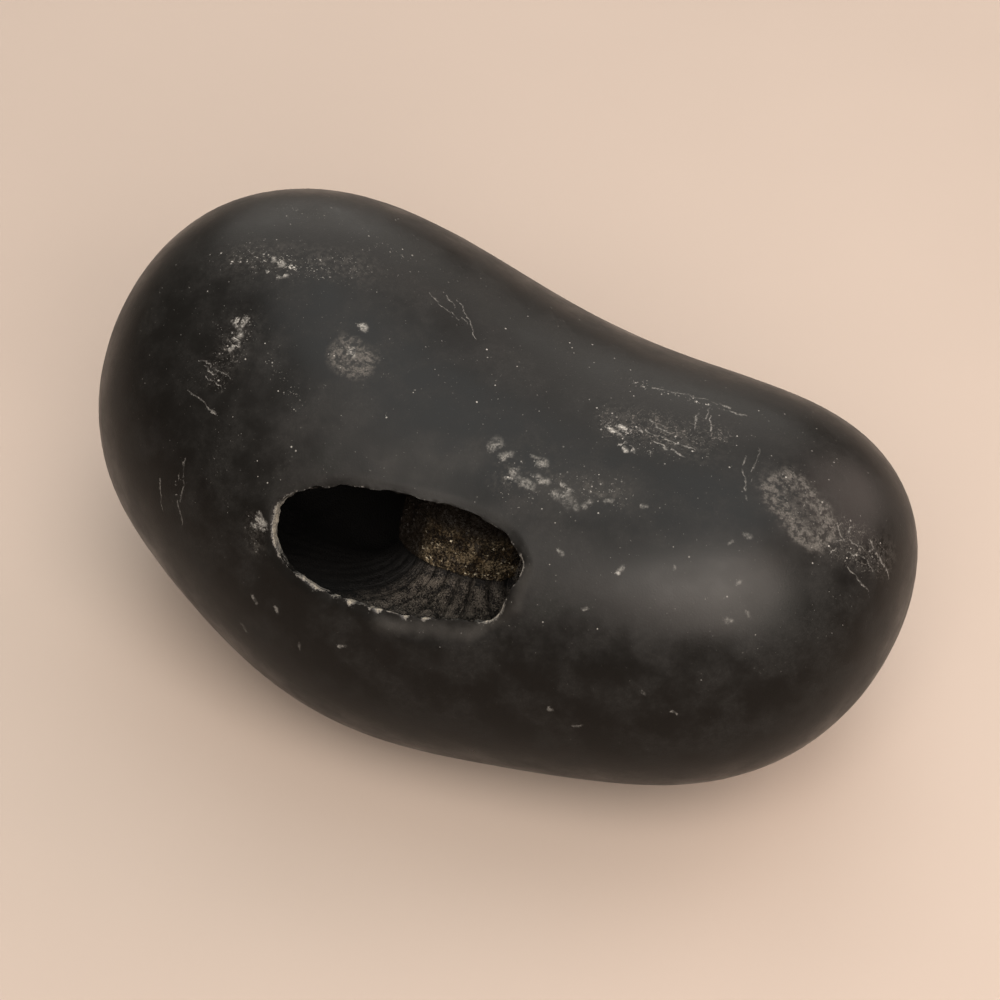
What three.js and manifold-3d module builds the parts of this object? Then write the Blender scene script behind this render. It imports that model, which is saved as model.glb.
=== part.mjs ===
// Shaligram stone: a black river pebble that grew round an ammonite, with a
// mouth worn through into the hollow that the shell left. Millimetres, +Z up.
// The stone is one solid: the pebble less the whorl's hollow. The druse of
// small crystals on the ridge inside the hollow is a second, thin solid.

import * as THREE from 'three';
import { ParametricGeometry } from 'three/addons/geometries/ParametricGeometry.js';
import { mergeVertices } from 'three/addons/utils/BufferGeometryUtils.js';
import Module from 'manifold-3d';

const wasm = await Module();
wasm.setup();

// ---- Driving dimensions: the pebble --------------------------------------

// A station runs from -1 at the broad end to +1 at the small end. Half width
// and half height follow a dome along it, and the centre line bends.
const LENGTH = 76.5;
const WIDTH = 45.6;
const HEIGHT = 40.8;
const END_ROUNDNESS = 0.9;
const SQUARENESS = 2.08;
const WIDTH_TAPER = [-0.076, 0.2];
const HEIGHT_TAPER = [-0.15, 0.34];
const BEND_SIDEWAYS = [0.25, 2.4];
const BEND_UPWARDS = [-1.0, 4.3];
const TOP_NARROWING = 0.05;
const TOP_LEAN = 0.05;

// Broad swells and worn hollows: where along, where round (degrees, 0 at the
// back, 90 on top, 180 in front) and the share by which the radius changes.
const SWELLS = [
  { along: -0.55, round: 61, rise: 0.108 },
  { along: 0.2, round: 81, rise: -0.058 },
  { along: 0.79, round: 55, rise: 0.091 },
  { along: -0.745, round: 220, rise: -0.19 },
  { along: -0.14, round: 285, rise: -0.055 },
  { along: 0.385, round: 216, rise: -0.091 },
];
const SWELL_REACH_ALONG = 0.32;
const SWELL_REACH_ROUND = 38;
const WORN_BASE = 0.5;

// ---- Driving dimensions: the whorl's hollow ------------------------------

// The coil lies leaning back in the stone. Its sweep angle is 0 towards the
// mouth and grows to the left and on into the stone.
const COIL_CENTRE = new THREE.Vector3(1.2, -3.2, 4.15);
const COIL_LEAN = 31;
const SWEEP_ZERO = -70;
const SWEEP_START = -45;
const SWEEP_END = 140;
const SWEEP_ROUNDING = 16;
const OUTER_RADIUS = 18.8;
const OUTER_GROWTH = 0.159;
const INNER_RADIUS = 5.2;
const INNER_GROWTH = 0.06;
const TUBE_HALF_WIDTH = 5.5;
const TUBE_SQUARENESS = 2.4;
const RIDGE_RISE = 1;
const RIDGE_HALF_WIDTH = 2.6;
const RIB_SPACING = 10.2;
const RIB_PHASE = -2.3;
const RIB_DEPTH = 0.5;
const BAND_SHARE = 0.2;

// The mouth: where the wall has worn through. Outline in its own plane.
const MOUTH_CENTRE = new THREE.Vector3(-0.4, -17, 12.1);
const MOUTH_LEAN = [50, 5];
const MOUTH_OUTLINE = [
  [-10.7, 0.6], [-8.8, 2.7], [-4.2, 4.5], [0.5, 5.2], [5.5, 5.5], [9.3, 4.7],
  [11.2, 2.8], [10.9, 0.2], [10.2, -2.2], [7.5, -3.3], [2, -4.7], [-6.5, -4.8],
  [-9.7, -3.3],
];
const MOUTH_OUTLINE_STEPS = 44;
const MOUTH_REACH = 4;
const WALL = 1.1;

// ---- Driving dimensions: the crystal crust -------------------------------

const CRUST_START = -28;
const CRUST_END = 88;
const CRUST_HALF_WIDTH = 2.9;
const CRUST_GAP = 0.3;
const CRUST_THICKNESS = 0.75;
const CRYSTAL_HEIGHT = 0.4;

// ---- Facets --------------------------------------------------------------

const PEBBLE_FACETS = { along: 44, round: 36 };
const TUBE_FACETS = { along: 100, round: 18 };
const CRUST_FACETS = { along: 36, round: 24 };
const MERGE_DISTANCE = 1e-4;
const CUTTER_SIZE = 200;

// ---- Helpers -------------------------------------------------------------

const radians = THREE.MathUtils.degToRad;

function signedPower(value, power) {
  return Math.sign(value) * Math.abs(value) ** power;
}

function bell(offset, reach) {
  return Math.exp(-0.5 * (offset / reach) ** 2);
}

function series(station, [first, second]) {
  return first * station + second * station ** 2;
}

// A closed solid from a geometry: vertices merged, collapsed faces dropped.
function solidOf(geometry) {
  geometry.deleteAttribute('normal');
  geometry.deleteAttribute('uv');
  const merged = mergeVertices(geometry, MERGE_DISTANCE);
  const corners = merged.index.array;
  const faces = [];
  for (let i = 0; i < corners.length; i += 3) {
    const [a, b, c] = corners.slice(i, i + 3);
    if (a !== b && b !== c && c !== a) faces.push(a, b, c);
  }
  return new wasm.Manifold(new wasm.Mesh({
    numProp: 3,
    vertProperties: merged.attributes.position.array,
    triVerts: new Uint32Array(faces),
  }));
}

function geometryOf(solid) {
  const mesh = solid.getMesh();
  const geometry = new THREE.BufferGeometry();
  geometry.setAttribute('position', new THREE.BufferAttribute(mesh.vertProperties, 3));
  geometry.setIndex(new THREE.BufferAttribute(mesh.triVerts, 1));
  return geometry;
}

// ---- The pebble ----------------------------------------------------------

function swellAt(station, round) {
  let share = 1;
  for (const swell of SWELLS) {
    const turn = THREE.MathUtils.euclideanModulo(round - swell.round + 180, 360) - 180;
    share += swell.rise * bell(station - swell.along, SWELL_REACH_ALONG)
      * bell(turn, SWELL_REACH_ROUND);
  }
  return share;
}

// Sections are rounded squares whose size follows a dome from end to end.
function pebblePoint(u, v, target) {
  const turn = Math.PI * u;
  const round = 2 * Math.PI * (1 - v);
  const station = -Math.cos(turn);
  const dome = Math.sin(turn) ** END_ROUNDNESS;
  const halfWidth = WIDTH / 2 * dome * (1 + series(station, WIDTH_TAPER));
  const halfHeight = HEIGHT / 2 * dome * (1 + series(station, HEIGHT_TAPER));
  const upwards = signedPower(Math.sin(round), 2 / SQUARENESS);
  const sideways = signedPower(Math.cos(round), 2 / SQUARENESS) * (1 - TOP_NARROWING * upwards);
  const swell = swellAt(station, THREE.MathUtils.radToDeg(round));
  const y = halfWidth * sideways * swell;
  const z = halfHeight * upwards * swell;
  target.set(
    LENGTH / 2 * station + TOP_LEAN * z,
    series(station, BEND_SIDEWAYS) + y,
    series(station, BEND_UPWARDS) + z,
  );
}

function pebbleGeometry(inset = 0) {
  const { along, round } = PEBBLE_FACETS;
  const geometry = new ParametricGeometry(pebblePoint, along, round);
  if (inset === 0) return geometry;
  geometry.deleteAttribute('normal');
  geometry.deleteAttribute('uv');
  const merged = mergeVertices(geometry, MERGE_DISTANCE);
  merged.computeVertexNormals();
  const { position, normal } = merged.attributes;
  const point = new THREE.Vector3();
  const outward = new THREE.Vector3();
  for (let i = 0; i < position.count; i += 1) {
    point.fromBufferAttribute(position, i);
    outward.fromBufferAttribute(normal, i);
    point.addScaledVector(outward, -inset);
    position.setXYZ(i, point.x, point.y, point.z);
  }
  return merged;
}

// ---- The whorl -----------------------------------------------------------

// A place in the coil: sweep angle, distance from the coil's axis, and height
// along that axis, turned into the stone's own frame.
const coilFrame = new THREE.Matrix4()
  .makeRotationX(radians(-COIL_LEAN))
  .setPosition(COIL_CENTRE);

function coilPoint(sweep, distance, height, target) {
  const angle = radians(SWEEP_ZERO - sweep);
  target.set(distance * Math.cos(angle), distance * Math.sin(angle), height);
  target.applyMatrix4(coilFrame);
}

// Each radius and the tube's width grow as the sweep does.
function tubeAt(sweep) {
  const grown = Math.exp(OUTER_GROWTH * radians(sweep));
  const outer = OUTER_RADIUS * grown;
  const inner = INNER_RADIUS * Math.exp(INNER_GROWTH * radians(sweep));
  return {
    middle: (outer + inner) / 2,
    halfHeight: (outer - inner) / 2,
    halfWidth: TUBE_HALF_WIDTH * grown,
  };
}

// The inner wall bulges into the tube, over the whorl inside it.
function ridgeRise(height) {
  return RIDGE_RISE * bell(height, RIDGE_HALF_WIDTH);
}

function innerWall(tube, height) {
  const share = Math.abs(height / tube.halfWidth) ** TUBE_SQUARENESS;
  const inwards = (1 - share) ** (1 / TUBE_SQUARENESS);
  return tube.middle - tube.halfHeight * inwards + ridgeRise(height);
}

// Ribs show as narrow grooves between broad rounded bands.
function ribGroove(sweep) {
  const phase = (sweep - RIB_PHASE) / RIB_SPACING;
  return 1 - Math.abs(Math.sin(Math.PI * phase)) ** 0.7;
}

function tubePoint(u, v, target) {
  const sweep = THREE.MathUtils.lerp(SWEEP_START, SWEEP_END, u);
  const round = 2 * Math.PI * (1 - v);
  const fromEnd = Math.min(sweep - SWEEP_START, SWEEP_END - sweep) / SWEEP_ROUNDING;
  const closing = fromEnd < 1 ? Math.sqrt(1 - (1 - fromEnd) ** 2) : 1;
  const outwards = signedPower(Math.cos(round), 2 / TUBE_SQUARENESS);
  const upwards = signedPower(Math.sin(round), 2 / TUBE_SQUARENESS);
  const inner = THREE.MathUtils.smoothstep(-outwards, 0.2, 0.8);
  const ribbed = 1 - THREE.MathUtils.smoothstep(-outwards, 0.8, 0.97);
  const relief = RIB_DEPTH * ribbed * (ribGroove(sweep) - BAND_SHARE);
  const tube = tubeAt(sweep);
  const size = closing * (1 + relief / tube.halfWidth);
  const height = tube.halfWidth * upwards * size;
  const distance = tube.middle + tube.halfHeight * outwards * size
    + inner * ridgeRise(height) * closing;
  coilPoint(sweep, distance, height, target);
}

function mouthGeometry() {
  const loop = new THREE.CatmullRomCurve3(
    MOUTH_OUTLINE.map(([x, y]) => new THREE.Vector3(x, y, 0)),
    true,
  );
  const outline = new THREE.Shape(loop.getPoints(MOUTH_OUTLINE_STEPS));
  const geometry = new THREE.ExtrudeGeometry(outline, {
    depth: 2 * MOUTH_REACH,
    steps: 1,
    bevelEnabled: false,
  });
  geometry.translate(0, 0, -MOUTH_REACH);
  const lean = new THREE.Euler(...MOUTH_LEAN.map(radians), 0);
  geometry.applyMatrix4(new THREE.Matrix4().makeRotationFromEuler(lean).setPosition(MOUTH_CENTRE));
  return geometry;
}

// ---- The stone -----------------------------------------------------------

const skin = pebbleGeometry();
skin.computeBoundingBox();
const lowest = skin.boundingBox.min;
const middle = skin.boundingBox.getCenter(new THREE.Vector3());
const baseHeight = lowest.z + WORN_BASE;

const belowBase = new THREE.BoxGeometry(CUTTER_SIZE, CUTTER_SIZE, CUTTER_SIZE);
belowBase.translate(0, 0, baseHeight - CUTTER_SIZE / 2);

const whorl = solidOf(new ParametricGeometry(tubePoint, TUBE_FACETS.along, TUBE_FACETS.round));
const insideWall = solidOf(pebbleGeometry(WALL));
const mouth = solidOf(mouthGeometry());
const hollow = whorl.intersect(insideWall.add(mouth));
const stoneSolid = solidOf(skin).subtract(hollow).subtract(solidOf(belowBase));

const stone = new THREE.Mesh(geometryOf(stoneSolid), new THREE.MeshStandardMaterial({
  color: 0x2b2a29,
  roughness: 0.42,
  metalness: 0,
}));
stone.name = 'stone';

// ---- The crystal crust ---------------------------------------------------

// A thin lens that follows the ridge, with a field of small pyramids on top.
function crustPoint(u, v, target) {
  const sweep = THREE.MathUtils.lerp(CRUST_START, CRUST_END, u);
  const round = 2 * Math.PI * v;
  const ends = Math.sqrt(Math.max(0, 1 - (2 * u - 1) ** 8));
  const height = CRUST_HALF_WIDTH * Math.cos(round) * ends;
  const crystal = (Math.round(u * CRUST_FACETS.along) % 2) * (Math.round(v * CRUST_FACETS.round) % 2);
  const upper = Math.max(0, Math.sin(round));
  const thickness = CRUST_THICKNESS * (1 + Math.sin(round)) / 2 + CRYSTAL_HEIGHT * upper * crystal;
  const distance = innerWall(tubeAt(sweep), height) + CRUST_GAP + thickness * ends;
  coilPoint(sweep, distance, height, target);
}

const crustSkin = new ParametricGeometry(crustPoint, CRUST_FACETS.along, CRUST_FACETS.round);
const crust = new THREE.Mesh(geometryOf(solidOf(crustSkin)), new THREE.MeshStandardMaterial({
  color: 0x6b5a3a,
  roughness: 0.35,
  metalness: 0,
}));
crust.name = 'crystal_crust';

// ---- Assembly: the origin is under the middle, on the ground -------------

const part = new THREE.Group();
part.add(stone, crust);
part.position.set(-middle.x, -middle.y, -baseHeight);

export default part;
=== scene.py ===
# Shaligram stone: a black, water-worn pebble with a mouth worn through into the
# ribbed hollow of an ammonite whorl, and a druse of small crystals on the ridge
# inside it. Shapes are worked out in millimetres in the pebble's own frame, and
# the frame's boxes place them in metres.

from math import radians

import bmesh
import bpy
import numpy as np
from mathutils import Matrix, Vector


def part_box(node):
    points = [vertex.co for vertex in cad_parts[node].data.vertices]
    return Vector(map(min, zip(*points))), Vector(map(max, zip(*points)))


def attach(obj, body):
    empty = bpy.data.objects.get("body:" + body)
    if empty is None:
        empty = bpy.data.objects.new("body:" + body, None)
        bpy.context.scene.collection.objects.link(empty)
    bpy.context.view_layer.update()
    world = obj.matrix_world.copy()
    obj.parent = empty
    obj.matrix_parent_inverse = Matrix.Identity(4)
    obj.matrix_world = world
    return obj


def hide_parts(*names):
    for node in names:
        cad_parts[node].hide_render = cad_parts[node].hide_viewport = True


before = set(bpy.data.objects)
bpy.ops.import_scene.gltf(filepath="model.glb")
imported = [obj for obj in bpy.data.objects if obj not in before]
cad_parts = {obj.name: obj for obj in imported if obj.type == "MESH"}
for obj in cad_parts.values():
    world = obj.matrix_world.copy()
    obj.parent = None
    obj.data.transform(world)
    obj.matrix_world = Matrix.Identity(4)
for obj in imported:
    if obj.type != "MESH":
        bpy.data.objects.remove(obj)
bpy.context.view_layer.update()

bl_info = {
    "name": "Shaligram Stone",
    "version": (1, 0, 0),
    "blender": (4, 5, 0),
    "location": "View3D > Sidebar > Shaligram",
    "description": "Builds a worn ammonite stone, its ribbed hollow and its crystals",
    "category": "Add Mesh",
}

MM = 0.001
BUMP_HEIGHT = 0.02 * MM

# ---- The pebble ----

# A station runs from -1 at the broad end to +1 at the small end.
LENGTH = 76.5
WIDTH = 45.6
HEIGHT = 40.8
END_ROUNDNESS = 0.9
SQUARENESS = 2.08
WIDTH_TAPER = (-0.076, 0.2)
HEIGHT_TAPER = (-0.15, 0.34)
BEND_SIDEWAYS = (0.25, 2.4)
BEND_UPWARDS = (-1.0, 4.3)
TOP_NARROWING = 0.05
TOP_LEAN = 0.05
WORN_BASE = 0.5
UNEVENNESS = 0.05

# Where along, where round (degrees, 0 at the back, 90 on top, 180 in front)
# and the share by which the radius changes.
SWELLS = (
    (-0.55, 61, 0.108),
    (0.2, 81, -0.058),
    (0.79, 55, 0.091),
    (-0.745, 220, -0.19),
    (-0.14, 285, -0.055),
    (0.385, 216, -0.091),
)
SWELL_REACH_ALONG = 0.32
SWELL_REACH_ROUND = 38

PLACING_GRID = (361, 360)

# Steps of the skin's grid, in radians: wide, and close round the mouth.
SKIN_TURN = {"wide": 0.042, "close": 0.0052, "middle": 1.545, "reach": 0.4}
SKIN_ROUND = {"wide": 0.062, "close": 0.0095, "middle": 2.46, "reach": 0.47}

# ---- The whorl's hollow ----

COIL_CENTRE = (1.2, -3.2, 4.15)
COIL_LEAN = 31
SWEEP_ZERO = -70
SWEEP_START = -45
SWEEP_END = 140
SWEEP_ROUNDING = 16
OUTER_RADIUS = 18.8
OUTER_GROWTH = 0.159
INNER_RADIUS = 5.2
INNER_GROWTH = 0.06
TUBE_HALF_WIDTH = 5.5
TUBE_SQUARENESS = 2.4
RIDGE_RISE = 1
RIDGE_HALF_WIDTH = 2.6
RIB_SPACING = 10.2
RIB_PHASE = -2.3
FIRST_RIB_SPACING = 14.7
RIB_DEPTH = 0.5
RIB_BLUNTNESS = 0.7
RIB_FADING = 0.55
RIB_FADING_SWEEP = (22, 45)
BAND_SHARE = 0.2
STRIA_SPACING = 1.7
STRIA_DEPTH = 0.06
# Painted shade in the hollow: the sweep over which its rock and crystals are painted black deep in the
# coil, then the crease under the crystals, how far it reaches, and how dark its painted shade is.
DEEP_SHADE_SWEEP = (26, 50)
CREASE_REACH = 0.45
CREASE_OFF_WALL = (0.2, 1.4)
CREASE_SHADE_DARKNESS = 0.9

TUBE_SWEEP = {"wide": 2.2, "close": 0.42, "middle": 6, "reach": 44}
TUBE_ROUND = {"wide": 0.075, "close": 0.021, "middle": 5.5, "reach": 1.25}

# ---- The mouth ----

MOUTH_CENTRE = (-0.4, -17, 12.1)
MOUTH_LEAN = (50, 5)
MOUTH_OUTLINE = (
    (-10.7, 0.6), (-8.8, 2.7), (-4.2, 4.5), (0.5, 5.2), (5.5, 5.5), (9.3, 4.7),
    (11.2, 2.8), (10.9, 0.2), (10.2, -2.2), (7.5, -3.3), (2, -4.7), (-6.5, -4.8),
    (-9.7, -3.3),
)
MOUTH_REACH = 4
NEAR_MOUTH = (16, 10, 7)
SHOULDER_DEPTH = 0.12
LOW_SHOULDER_DEPTH = 0.35
LOW_SIDE = (1, 4.2)
RIGHT_SIDE = (-2, 5)
WALL = 1.1
OUTLINE_STEPS = 468
CUTTER_STEPS = 26
SHORTEST_EDGE = 0.002
INSET_GRID = (120, 100)

# The angles in degrees that an edge is sharp from.
STONE_EDGE = 42
DRUSE_EDGE = 30

# Stretches of the rim that are broken more: degrees round the mouth from its
# right end over its top, how far they reach, how wide the break is, how pale.
RIM_STRETCHES = (
    (185, 14, 0.28, 0.75),
    (220, 8, 0.25, 0.75),
    (270, 40, 0.1, 0.5),
    (350, 8, 0.35, 0.75),
    (15, 5, 0.3, 0.7),
)
# Small chips scattered along the lower rim: how many, between which degrees,
# and the least and most of their reach and width in millimetres and paleness.
RIM_CHIPS = {
    "count": 12,
    "between": (200, 345),
    "reach": (0.15, 0.45),
    "width": (0.15, 0.5),
    "pale": (0.6, 1.0),
}
RIM_LEAST = {"width": 0.1, "pale": 0.3}
RIM_SEED = 5

# ---- The crystal crust ----

CRUST_START = -41
CRUST_END = 88
CRUST_HALF_WIDTH = 2.9
CRUST_THICKNESS = 0.75
CRUST_ROOT = 0.12
CRUST_GRID = (150, 96)
CRYSTAL_LEAN = (0.28, 0.2)
CRYSTAL_RISE = 0.22
CRYSTAL_STRETCH = (0.75, 1.25)
SMALL_SHARE_POWER = 2.2
# Painted shade on the crust's top, under the rim's overhang: the heights it runs between and how dark it
# gets.
CRUST_TOP = (-0.5, 1.6)
CRUST_SHADE_DARKNESS = 0.95

# ---- Marks on the skin ----

# Marks lie scattered in groups. A group has its middle, a station from -1 to 1
# and degrees round from the back over the top; how far it spreads along and
# round the stone; how many marks it has; how they run, in degrees from the
# stone's length, with some give; and the least and most of their half length,
# half width and strength. Lengths are in millimetres.
MARK_GROUPS = (
    # Chalky smudges by the waist, and the scratches that trail from them.
    ((0.3, 92), (1.0, 0.5), 3, (15, 10), (0.2, 0.7), (0.25, 0.35), (0.8, 1.0)),
    ((0.35, 97), (1.5, 0.8), 4, (0, 40), (0.1, 0.2), (0.2, 0.25), (0.7, 0.8)),
    ((0.4, 91), (2.5, 1.2), 5, (10, 10), (1.2, 2.4), (0.07, 0.1), (0.5, 0.7)),
    ((0.45, 81), (2.0, 1.2), 3, (90, 25), (0.8, 1.5), (0.06, 0.09), (0.4, 0.7)),
    ((0.42, 74), (4.5, 0.8), 5, (0, 12), (1.5, 2.6), (0.06, 0.08), (0.5, 0.65)),
    # Soft blots beside the mouth.
    ((0.25, 113), (6.0, 2.6), 16, (0, 60), (0.1, 0.4), (0.2, 0.5), (0.15, 0.4)),
    ((0.16, 115), (0.2, 0.2), 1, (0, 40), (0.1, 0.2), (0.35, 0.4), (1.0, 1.0)),
    # Clusters and scratches at the broad end.
    ((-0.55, 93), (2.4, 0.9), 5, (0, 60), (0.1, 0.3), (0.25, 0.35), (0.75, 0.9)),
    ((-0.56, 113), (0.9, 0.8), 4, (50, 40), (0.2, 0.8), (0.1, 0.3), (0.75, 0.9)),
    ((-0.55, 126), (1.5, 1.5), 4, (0, 20), (0.8, 1.8), (0.05, 0.07), (0.5, 0.6)),
    ((-0.31, 103), (1.0, 2.0), 3, (0, 40), (0.1, 0.2), (0.2, 0.3), (0.5, 0.8)),
    ((-0.56, 157), (2.0, 2.0), 5, (75, 10), (1.0, 2.4), (0.06, 0.09), (0.35, 0.5)),
    # Scratches above the mouth and a rub at its left end.
    ((-0.17, 82), (2.0, 1.4), 4, (30, 12), (1.0, 2.2), (0.05, 0.07), (0.5, 0.65)),
    ((-0.34, 149), (0.5, 1.5), 3, (20, 20), (0.3, 0.7), (0.2, 0.35), (0.45, 0.6)),
    # Crossing lines at the small end, round the oval bloom.
    ((0.64, 96), (2.0, 2.5), 3, (55, 15), (1.2, 2.4), (0.07, 0.09), (0.35, 0.45)),
    ((0.9, 98), (1.8, 3.5), 10, (60, 80), (0.7, 2.0), (0.06, 0.08), (0.45, 0.6)),
    # Single specks over the front.
    ((0.6, 130), (16.0, 12.0), 10, (0, 80), (0.1, 0.2), (0.12, 0.28), (0.2, 0.7)),
    ((0.0, 170), (24.0, 5.0), 8, (30, 60), (0.1, 0.4), (0.1, 0.2), (0.25, 0.5)),
)
MARKS_SEED = 12

# Zones that a pattern of the skin shows in. Each runs from one place on the
# skin to another, given as above, with its half width and its strength.
ZONES = {
    "specks": (
        (-0.65, 95, -0.45, 90, 2.0, 1.0),
        (-0.55, 110, -0.55, 125, 1.6, 0.9),
        (-0.65, 75, -0.35, 75, 1.6, 0.6),
        (-0.45, 115, -0.35, 120, 1.2, 0.5),
        (0.25, 90, 0.4, 95, 0.9, 1.1),
        (0.25, 75, 0.45, 75, 0.7, 1.0),
        (0.9, 105, 0.95, 85, 1.0, 0.8),
        (-0.6, 145, -0.55, 160, 0.8, 0.7),
        (0.15, 120, 0.35, 110, 1.6, 0.5),
    ),
    "web": (
        (0.3, 90, 0.5, 85, 2.6, 0.8),
        (0.85, 100, 0.95, 90, 2.4, 0.9),
        (-0.55, 115, -0.55, 125, 1.5, 0.5),
    ),
    "bloom": (
        (-0.3, 105, -0.28, 105, 2.3, 0.7),
        (0.72, 94, 0.8, 100, 2.7, 1.0),
    ),
    "rubbed": (
        (0, 160, 0.2, 155, 1.0, 0.9),
        (0.2, 155, 0.28, 145, 1.0, 1.1),
        (0.28, 145, 0.28, 135, 0.7, 0.8),
        (0.2, 115, 0.4, 110, 3.0, 0.5),
        (-0.1, 120, 0.05, 115, 2.5, 0.4),
    ),
    "haze": (
        (-0.65, 95, -0.4, 85, 3.2, 0.5),
        (-0.55, 110, -0.55, 120, 2.6, 0.35),
        (0.3, 90, 0.5, 90, 3.4, 0.4),
        (0.15, 115, 0.4, 110, 2.8, 0.5),
        (0.7, 90, 0.85, 100, 3.2, 0.35),
        (0.9, 100, 0.95, 85, 2.6, 0.45),
        (-0.35, 150, -0.33, 155, 1.4, 0.6),
    ),
}

# ---- Numbers over whole arrays ----


def signed_power(value, power):
    """The size of a value raised to a power, with the value's own sign."""
    return np.sign(value) * np.abs(value) ** power


def bell(offset, reach):
    """A bell curve: 1 at no offset, and e to the minus a half at one reach."""
    return np.exp(-0.5 * (offset / reach) ** 2)


def series(station, factors):
    """The first factor times the station plus the second times its square."""
    return factors[0] * station + factors[1] * station ** 2


def smooth_step(value, low, high):
    """0 below low, 1 above high, and 3t squared less 2t cubed between."""
    share = np.clip((value - low) / (high - low), 0, 1)
    return share * share * (3 - 2 * share)


def turned(degrees):
    """An angle brought to between -180 and 180 degrees."""
    return (degrees + 180) % 360 - 180


def full_turn(count):
    return np.linspace(0, 2 * np.pi, count, endpoint=False)


def unit(vectors):
    """Vectors divided by their lengths."""
    return vectors / np.linalg.norm(vectors, axis=-1, keepdims=True)


def graded(low, high, wide, close, middle, reach):
    """Steps from low to high: close ones within reach of the middle, wide ones
    elsewhere. The density is a plateau with eased sides, 1/close on it and
    1/wide off it, and each step holds the same share of its running sum."""
    fine = np.linspace(low, high, 4001)
    edge = np.abs(fine - middle) - reach
    density = 1 / wide + (1 / close - 1 / wide) * (1 - smooth_step(edge, 0, 0.35 * reach))
    running = np.concatenate([[0], np.cumsum((density[1:] + density[:-1]) / 2 * np.diff(fine))])
    count = int(round(running[-1]))
    return np.interp(np.linspace(0, running[-1], count + 1), running, fine)


def corner_values(x, y, z, seed):
    """A repeatable value from -1 to 1 for each lattice corner: its whole
    numbers are multiplied by large odd numbers, added and folded together."""
    mixed = x * 374761393 + y * 668265263 + z * 1442695041 + seed * 974634777
    mixed = (mixed ^ (mixed >> 13)) * 1274126177
    mixed = mixed ^ (mixed >> 16)
    return (mixed & 0xFFFFFF) / 0x7FFFFF - 1


def noise(points, size, seed):
    """Smooth noise from -1 to 1: the values at the eight corners of the lattice
    cell that holds a point, blended by smooth steps along the three axes."""
    scaled = points / size
    cell = np.floor(scaled)
    share = scaled - cell
    share = share * share * (3 - 2 * share)
    cell = cell.astype(np.int64)
    total = 0
    for corner in np.ndindex(2, 2, 2):
        weight = np.prod(np.where(np.array(corner) == 1, share, 1 - share), axis=-1)
        x, y, z = (cell[..., axis] + corner[axis] for axis in range(3))
        total = total + weight * corner_values(x, y, z, seed)
    return total


def layered_noise(points, size, seed):
    """Noise with finer noise on it: each layer has half the size and weight."""
    layers = (noise(points, size / 2 ** layer, seed + layer) / 2 ** layer for layer in range(3))
    return sum(layers) / 1.5


# ---- Closed surfaces ----


def closed_surface(rings):
    """The points and faces of a grid of rings whose first and last rings are
    poles. The faces are turned outwards by the sign of the volume."""
    steps, around = rings.shape[:2]
    body = rings[1:-1].reshape(-1, 3)
    points = np.vstack([body, rings[0].mean(0), rings[-1].mean(0)])
    row = np.arange(steps - 3)[:, None] * around
    here = np.arange(around)
    following = (here + 1) % around
    quads = np.stack([
        row + here, row + following, row + around + following, row + around + here,
    ], axis=-1).reshape(-1, 4)
    pole = np.full(around, len(body))
    last = (steps - 3) * around
    caps = np.vstack([
        np.stack([pole, following, here], axis=-1),
        np.stack([pole + 1, last + here, last + following], axis=-1),
    ])
    if enclosed_volume(points, quads[:, :3]) + enclosed_volume(points, quads[:, [0, 2, 3]]) < 0:
        quads = quads[:, ::-1]
        caps = caps[:, ::-1]
    return points, quads.tolist() + caps.tolist()


def new_piece(name, points, faces, material=None):
    mesh = bpy.data.meshes.new(name)
    mesh.from_pydata(points, [], faces)
    if material:
        mesh.materials.append(material)
    piece = bpy.data.objects.new(name, mesh)
    bpy.context.scene.collection.objects.link(piece)
    return piece


def enclosed_volume(points, triangles):
    """A sixth of the sum of each triangle's triple product."""
    first, second, third = (points[triangles[:, corner]] for corner in range(3))
    return (first * np.cross(second, third)).sum() / 6


def combine(piece, operation, tool):
    """Joins, meets or cuts one closed piece with another, which is used up."""
    step = piece.modifiers.new(operation.title(), "BOOLEAN")
    step.operation = operation
    step.solver = "MANIFOLD"
    step.material_mode = "TRANSFER"
    step.object = tool
    graph = bpy.context.evaluated_depsgraph_get()
    result = bpy.data.meshes.new_from_object(piece.evaluated_get(graph))
    piece.modifiers.clear()
    spent = piece.data
    piece.data = result
    bpy.data.meshes.remove(spent)
    bpy.data.objects.remove(tool)
    if not result.polygons:
        raise RuntimeError(f"{operation.lower()} left nothing of {piece.name}")


def mend_cut(mesh):
    """Collapses the shortest edges that a cut leaves, drops its crumbs, which
    aren't joined to the rest, and straightens points that only two edges
    meet at, again where that leaves new ones. To find the parts, each point
    takes the least number among its neighbours until none changes."""
    shape = bmesh.new()
    shape.from_mesh(mesh)
    bmesh.ops.dissolve_degenerate(shape, dist=SHORTEST_EDGE, edges=shape.edges)
    shape.to_mesh(mesh)
    first, second = whole_numbers(mesh.edges, "vertices", 2).reshape(-1, 2).T
    part = np.arange(len(mesh.vertices))
    before = None
    while not np.array_equal(part, before):
        before = part
        part = part.copy()
        least = np.minimum(before[first], before[second])
        np.minimum.at(part, first, least)
        np.minimum.at(part, second, least)
        part = part[part]
    crumb = part != np.bincount(part).argmax()
    bmesh.ops.delete(shape, geom=np.array(shape.verts[:])[crumb].tolist())
    for _ in range(3):
        kinks = [point for point in shape.verts if len(point.link_edges) == 2]
        bmesh.ops.dissolve_verts(shape, verts=kinks)
    shape.to_mesh(mesh)
    shape.free()


def whole_numbers(items, field, width=1):
    values = np.empty(len(items) * width, np.int32)
    items.foreach_get(field, values)
    return values


def vertex_points(mesh):
    flat = np.empty(len(mesh.vertices) * 3, np.float32)
    mesh.vertices.foreach_get("co", flat)
    return flat.reshape(-1, 3).astype(float)


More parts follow.
